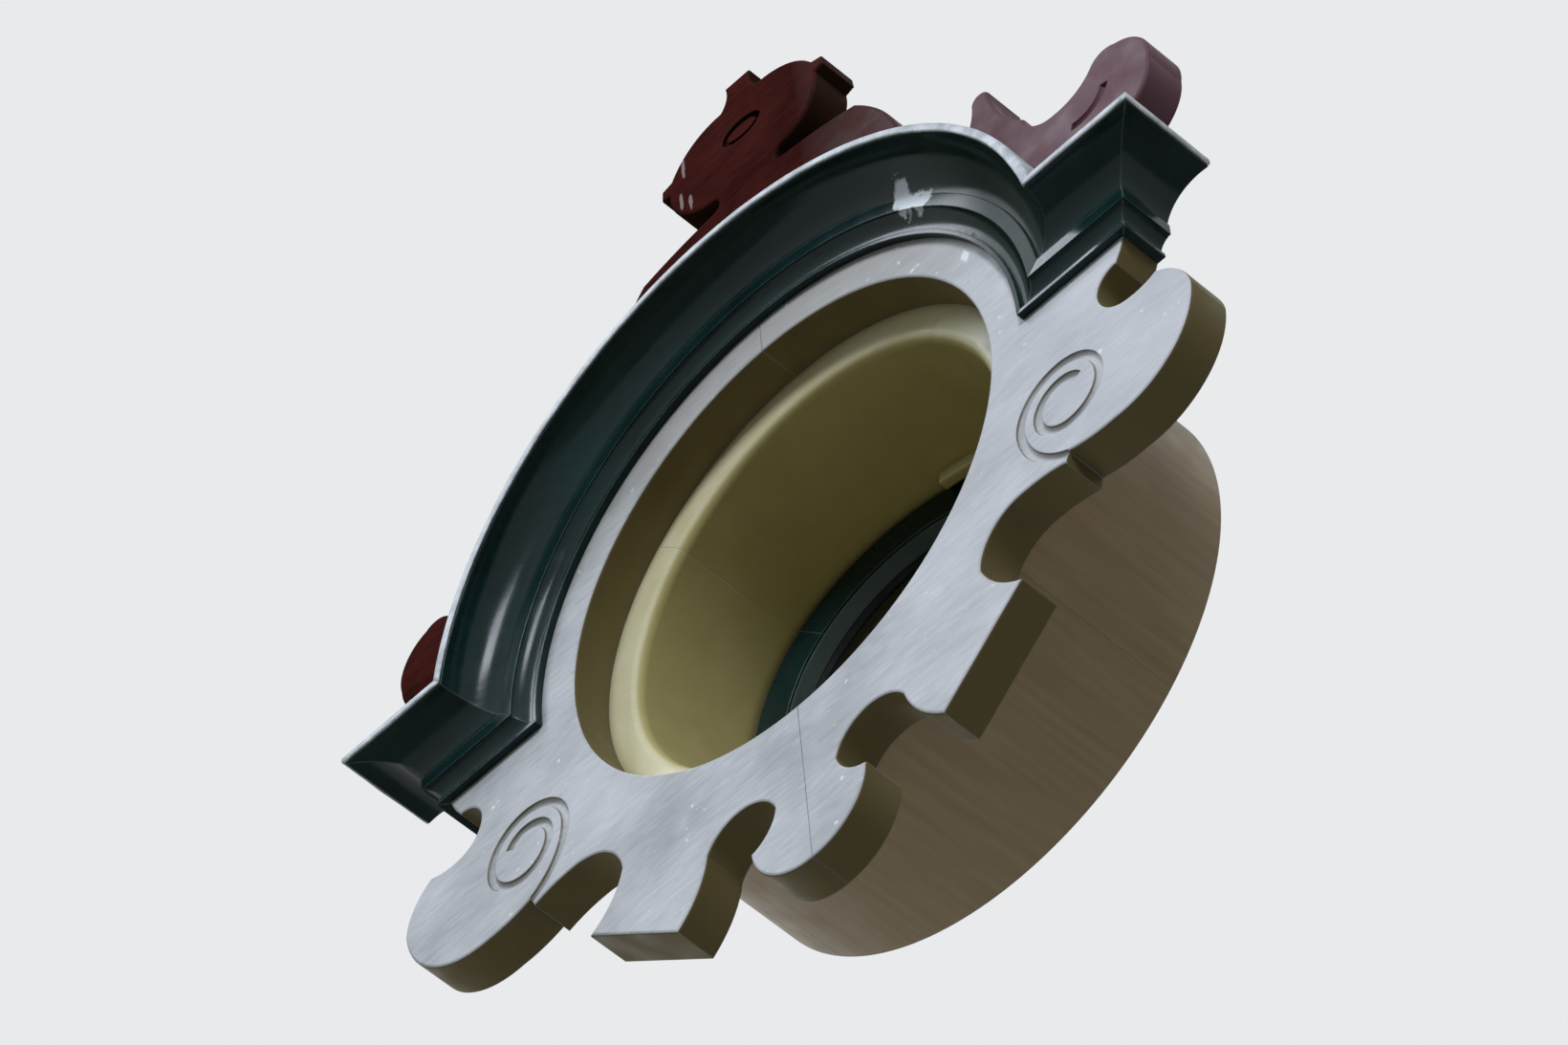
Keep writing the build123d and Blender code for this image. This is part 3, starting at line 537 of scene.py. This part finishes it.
turned_brass, tree, skin = new_finish("turned_brass")
place = place_mm(tree)
tarnish = add(tree, "TexNoise", {}, {
    "Vector": place, "Scale": 1 / TARNISH_MM, "Detail": 5.0,
}).outputs["Fac"]
metal = add(tree, "Mix", MIX_COLOURS, {
    SHARE: tarnish, COLOUR_A: linear("#C9A35A"), COLOUR_B: linear("#8E6E37"),
}).outputs[COLOUR_OUT]
rings = add(tree, "Mapping", {}, {"Vector": place, "Scale": (0.2, 2.0, 0.2)}).outputs[0]
lathe = add(tree, "TexNoise", {}, {
    "Vector": rings, "Scale": 1 / LATHE_MM, "Detail": 2.0,
}).outputs["Fac"]
dull = add(tree, "MapRange", {}, {"Value": tarnish, "To Min": 0.22, "To Max": 0.5}).outputs[0]
bump = add(tree, "Bump", {}, {"Strength": 0.2, "Distance": 0.1 * MM, "Height": lathe}).outputs[0]
fill(skin, {"Base Color": metal, "Roughness": dull, "Normal": bump, "Metallic": 1.0})
print("made", turned_brass.name)

# %% Bare beech
FIBRE_MM = 2.0

bare_beech, tree, skin = new_finish("bare_beech")
along = add(tree, "Mapping", {}, {"Vector": place_mm(tree), "Scale": (1.0, 1.0, 0.08)}).outputs[0]
grain = add(tree, "TexNoise", {}, {
    "Vector": along, "Scale": 1 / FIBRE_MM, "Detail": 4.0,
}).outputs["Fac"]
timber = add(tree, "Mix", MIX_COLOURS, {
    SHARE: grain, COLOUR_A: linear("#B98D5C"), COLOUR_B: linear("#D9B48A"),
}).outputs[COLOUR_OUT]
bump = add(tree, "Bump", {}, {"Strength": 0.3, "Distance": 0.2 * MM, "Height": grain}).outputs[0]
fill(skin, {"Base Color": timber, "Roughness": 0.6, "Normal": bump})
print("made", bare_beech.name)

# %% [markdown]
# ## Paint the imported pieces
#
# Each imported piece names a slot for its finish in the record, so the right finish finds its piece
# by that name. The tube's pieces and the arch take their own copies of the paint.

# %% Hand out the finishes
finish_of_slot = {
    "grey_paint": grey_paint,
    "green_paint": green_paint,
    "maroon_paint": red_paint,
    "cream_paint": cream_paint,
    "bare_wood": bare_beech,
    "lead": sheet_lead,
    "brass": turned_brass,
    "glass": glass,
    "putty": putty_paint,
}
for part in frame["record"]["subparts"]:
    piece = nodes[part["node"]]
    finish = finish_of_slot[part["material_slot"]]
    if part["node"].startswith("frame_") and finish is cream_paint:
        finish = tube_paint
    if part["node"] == "hood_arch":
        finish = arch_paint
    for held in piece.material_slots:
        held.material = finish
    if not piece.material_slots:
        piece.data.materials.append(finish)
print("painted pieces:", len(nodes))

# %% [markdown]
# ## Lead dressed over the hood
#
# The hood's top is covered with sheet lead, folded down over its front edge as a drip. On the
# real hood the sheet is beaten down by hand, so its fold is soft, its top has shallow dents and
# the drip's lower edge wanders a little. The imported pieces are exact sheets, and the hood's sizes
# are read off their boxes. Here each sheet is built again in mesh code: one section of the sheet
# is carried from station to station, and smooth noise moves its points by about 2 mm at most.

# %% Sizes of the hood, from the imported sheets
SHEET = 2.5
arch_box = packed_box("lead_arch")
return_box = packed_box("lead_right")
HOOD_TOP_R = arch_box[1][2] - SHEET
HOOD_TOP_Z = return_box[1][2] - SHEET
HOOD_HALF = return_box[1][0] - SHEET
HOOD_REACH = -return_box[0][1] - SHEET
DRIP = HOOD_TOP_Z - return_box[0][2]
print("hood: radius", HOOD_TOP_R, "height", HOOD_TOP_Z, "half", HOOD_HALF, "reach", HOOD_REACH)

# %% The sheet's section
# Reach in front of the backs' plane, and height over the hood's top, round the section.
OUTER = HOOD_REACH + SHEET
SECTION = [(reach, SHEET) for reach in (0, 15, 30, 45, 60, 75, 84)]
SECTION += [(OUTER - 4.0, SHEET), (OUTER - 1.7, 2.0), (OUTER - 0.4, 0.8)]
SECTION += [(OUTER, -1.0), (OUTER, -3.5), (OUTER, -5.6), (OUTER - 0.4, -DRIP)]
SECTION += [(HOOD_REACH + 0.4, -DRIP), (HOOD_REACH, -5.8), (HOOD_REACH, -3.0), (HOOD_REACH, 0.0)]
SECTION += [(reach, 0.0) for reach in (75, 45, 0)]
print("points round the section:", len(SECTION))

# %% Dents and a wandering drip
BEATEN_MM = 34.0
RIPPLE_MM = 9.0
# How far the noise goes, in millimetres.
TOP_DENT, TOP_RIPPLE = 0.7, 0.15
DRIP_WANDER, DRIP_RIPPLE = 1.6, 0.5
FRONT_DENT = 0.5


def dressed(spot, reach, height):
    # Each change only takes the sheet inwards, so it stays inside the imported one.
    swell = 0.5 + 0.5 * noise.noise(spot / BEATEN_MM)
    fine = 0.5 + 0.5 * noise.noise(spot / RIPPLE_MM + Vector((40, 0, 0)))
    on_top = height > 1.5
    on_drip = height < -5.0
    on_front = reach > OUTER - 1.0
    if on_top:
        height -= TOP_DENT * swell + TOP_RIPPLE * fine
    if on_drip:
        height += DRIP_WANDER * swell + DRIP_RIPPLE * fine
    if on_front:
        reach -= FRONT_DENT * swell
    return reach, height


print("dents are", BEATEN_MM, "mm apart")

# %% Carry the section along
def sheet_mesh(name, places):
    # Each place turns (reach, height) into a point, in millimetres, at one station of the sheet.
    form = bmesh.new()
    rows = []
    for place in places:
        row = []
        for reach, height in SECTION:
            r, h = dressed(place(reach, height), reach, height)
            row.append(form.verts.new(place(r, h) * MM))
        rows.append(row)
    count = len(SECTION)
    for near, far in zip(rows, rows[1:]):
        for i in range(count):
            j = (i + 1) % count
            form.faces.new((near[i], near[j], far[j], far[i]))
    form.faces.new(reversed(rows[0]))
    form.faces.new(rows[-1])
    bmesh.ops.recalc_face_normals(form, faces=form.faces)
    mesh = bpy.data.meshes.new(name)
    form.to_mesh(mesh)
    form.free()
    for face in mesh.polygons:
        face.use_smooth = len(face.vertices) == 4
    piece = bpy.data.objects.new(name, mesh)
    bpy.context.collection.objects.link(piece)
    mesh.materials.append(sheet_lead)
    return piece


# %% Sheet over the arch
def mitre_angle(height):
    return math.asin((HOOD_TOP_Z + height) / (HOOD_TOP_R + height))


def arch_station(share):
    # The sheet ends at the curved mitre, which lies at another angle for each height.
    def place(reach, height):
        low = mitre_angle(height)
        turn = low + (math.pi - 2 * low) * share
        radius = HOOD_TOP_R + height
        return Vector((radius * math.cos(turn), -reach, radius * math.sin(turn)))
    return place


ARCH_STEPS = 150
stations = [arch_station(i / ARCH_STEPS) for i in range(ARCH_STEPS + 1)]
arch_sheet = sheet_mesh("lead_arch_dressed", stations)
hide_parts("lead_arch")
print("points in the arch's sheet:", len(arch_sheet.data.vertices))

# %% Sheets over the returns
FRONT_STEPS = 14
END_STEPS = 12


def return_station(side, run, share):
    # Along the front from the mitre to the corner, and then along the end, to the backs' plane.
    def place(reach, height):
        start = (HOOD_TOP_R + height) * math.cos(mitre_angle(height))
        corner = HOOD_HALF - HOOD_REACH + reach
        if run == "front":
            x, y = start + (corner - start) * share, -reach
        else:
            x, y = corner, -reach * (1 - share)
        return Vector((side * x, y, HOOD_TOP_Z + height))
    return place


for side, node in ((1, "lead_right"), (-1, "lead_left")):
    stations = [return_station(side, "front", i / FRONT_STEPS) for i in range(FRONT_STEPS + 1)]
    stations += [return_station(side, "end", i / END_STEPS) for i in range(1, END_STEPS + 1)]
    sheet = sheet_mesh(node + "_dressed", stations)
    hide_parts(node)
dressed_sheets = [o for o in bpy.data.objects if o.name.endswith("_dressed")]
for sheet in dressed_sheets:
    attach(sheet, "frame")
print("dressed sheets:", [o.name for o in dressed_sheets])

# %% [markdown]
# ## The ground and the sky
#
# The window sits high under open sky, and the photograph looks up at it, so the floor lies below
# the camera. The sky lights the paint from above and in front, and is darker towards the ground
# and behind the window, so the soffits stay dark. The camera, the gloss and the glass see a
# plain pale background instead. Two lamps in front draw the lines of light along the mouldings,
# and a third shows the back.

# %% Floor
FLOOR_Z = -12.0
FLOOR_R = 15.0
floor_mesh = bpy.data.meshes.new("floor_mesh")
form = bmesh.new()
bmesh.ops.create_circle(form, cap_ends=True, segments=96, radius=FLOOR_R)
form.to_mesh(floor_mesh)
form.free()
floor = bpy.data.objects.new("floor", floor_mesh)
bpy.context.collection.objects.link(floor)
floor.location = (0, 0, FLOOR_Z)
pale_floor, tree, skin = new_finish("pale_floor")
fill(skin, {"Base Color": linear("#D8D8D6"), "Roughness": 0.9})
floor_mesh.materials.append(pale_floor)
print("floor at", FLOOR_Z, "m")

# %% Sky
# Where the light changes, as shares of a direction of length 1: from the ground to the sky, and
# from the front to behind the window.
HORIZON = (-0.1, 0.7)
BEHIND = (-0.6, -0.2)

world = bpy.data.worlds.new("overcast_sky")
bpy.context.scene.world = world
world.use_nodes = True
tree = world.node_tree
direction = add(tree, "TexCoord").outputs["Generated"]
split = add(tree, "SeparateXYZ", {}, {0: direction})
rise, behind = [
    add(tree, "MapRange", {"interpolation_type": "SMOOTHSTEP"}, {
        "Value": split.outputs[axis], "From Min": start, "From Max": full,
    }).outputs[0]
    for axis, (start, full) in (("Z", HORIZON), ("Y", BEHIND))
]
front_light, back_light = [
    add(tree, "Mix", MIX_COLOURS, {
        SHARE: rise, COLOUR_A: linear(low), COLOUR_B: linear(high),
    }).outputs[COLOUR_OUT]
    for low, high in (("#5B574E", "#CDE0FB"), ("#4A463E", "#8F8C84"))
]
daylight = add(tree, "Mix", MIX_COLOURS, {
    SHARE: behind, COLOUR_A: front_light, COLOUR_B: back_light,
}).outputs[COLOUR_OUT]
print("sky made:", world.name)

# %% The background that is seen
path = add(tree, "LightPath")
seen = path.outputs["Is Camera Ray"]
for ray in ("Is Glossy Ray", "Is Transmission Ray"):
    seen = add(tree, "Math", {"operation": "MAXIMUM"}, {0: seen, 1: path.outputs[ray]}).outputs[0]
shown = add(tree, "Mix", MIX_COLOURS, {
    SHARE: seen, COLOUR_A: daylight, COLOUR_B: linear("#E9EAEC"),
}).outputs[COLOUR_OUT]
fill(tree.nodes["Background"], {"Color": shown, "Strength": 1.0})
print("background mixed in")

# %% Soft studio lamps
for name, spot, size, power in (
    ("soft_key", (-3.4, -4.1, 6.7), 2.4, 150),
    ("soft_fill", (4.0, -6.0, 3.4), 2.4, 380),
    ("soft_back", (-3.0, 7.0, 2.0), 4.0, 230),
):
    lamp = bpy.data.lights.new(name, "AREA")
    lamp.size = size
    lamp.energy = power
    lamp.color = linear("#EEF4FF")[:3]
    holder = bpy.data.objects.new(name, lamp)
    bpy.context.collection.objects.link(holder)
    holder.location = spot
    holder.rotation_euler = (-Vector(spot)).to_track_quat("-Z", "Y").to_euler()
print("lamps:", len(bpy.data.lights))

# %% [markdown]
# ## The camera
#
# The photograph was taken from below and from the right, and its vanishing lines gave the
# direction, the roll and the perspective. Only the zoom is closer here.

# %% Camera at the photograph's angle
EYE = Vector((2.7854, -3.2729, -5.6435))
AIM = Vector((0.0050, -0.0380, -0.0038))
ROLL = math.radians(-5.712)
lens = bpy.data.cameras.new("photo_camera")
lens.sensor_width = 36
lens.lens = 212
lens.clip_end = 200
camera = bpy.data.objects.new("photo_camera", lens)
bpy.context.collection.objects.link(camera)
ahead = (AIM - EYE).normalized()
level = ahead.cross(Vector((0, 0, 1))).normalized()
above = level.cross(ahead)
right = level * math.cos(ROLL) + above * math.sin(ROLL)
up = right.cross(ahead)
turn = Matrix((right, up, -ahead)).transposed()
camera.matrix_world = Matrix.Translation(EYE) @ turn.to_4x4()
bpy.context.scene.camera = camera
bpy.context.scene.view_settings.view_transform = "Standard"
print("camera is", round(EYE.length, 2), "m away")
